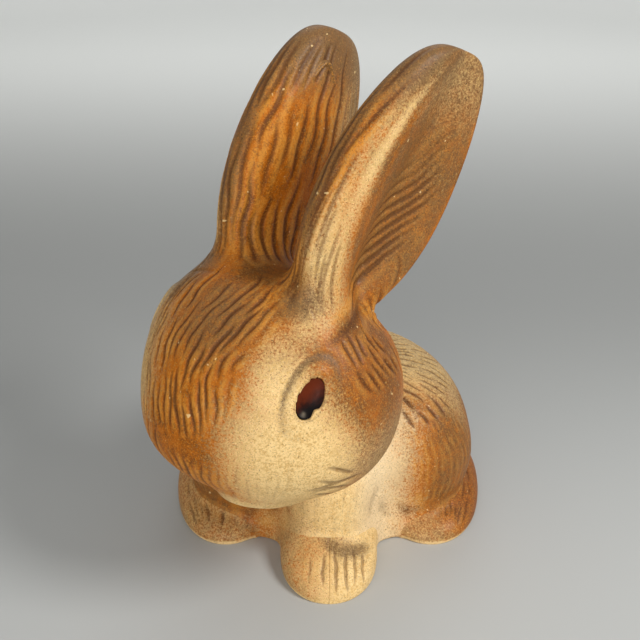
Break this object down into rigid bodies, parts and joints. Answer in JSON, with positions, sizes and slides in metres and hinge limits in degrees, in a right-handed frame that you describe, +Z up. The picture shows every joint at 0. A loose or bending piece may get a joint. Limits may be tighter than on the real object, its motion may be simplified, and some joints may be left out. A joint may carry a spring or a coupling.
{
  "type": "ceramic rabbit figurine",
  "caption": "Hollow cast ceramic rabbit that crouches on a flat underside, with its head turned to one side and its long ears swept back.",
  "frame": {"origin": "on the flat underside, in the plane of symmetry of the body", "axes": "+Z up, the body faces -Y, +X is the rabbit's left; the head is turned towards -X"},
  "size_m": [0.1632, 0.2102, 0.2444],
  "materials": {
    "head_glaze": "satin glaze, cream sprayed with orange-brown, grooved under the glaze",
    "body_glaze": "satin glaze, cream sprayed with orange-brown, short fur strokes",
    "bare_clay": "bare fired clay",
    "ear_glaze": "satin glaze, orange-brown to grey-brown, long grooves",
    "paw_glaze": "satin glaze, cream with toe grooves",
    "foot_glaze": "satin glaze, brown with toe grooves",
    "tail_glaze": "satin glaze, cream",
    "eye_gloss": "high gloss, dark red-brown"
  },
  "bodies": {
    "root": {"head_shell": "head_glaze", "body_shell": "body_glaze", "base_plate": "bare_clay", "left_ear": "ear_glaze", "right_ear": "ear_glaze", "left_forepaw": "paw_glaze", "right_forepaw": "paw_glaze", "left_hind_foot": "foot_glaze", "right_hind_foot": "foot_glaze", "tail": "tail_glaze", "left_eye": "eye_gloss", "right_eye": "eye_gloss"}
  },
  "joints": []
}
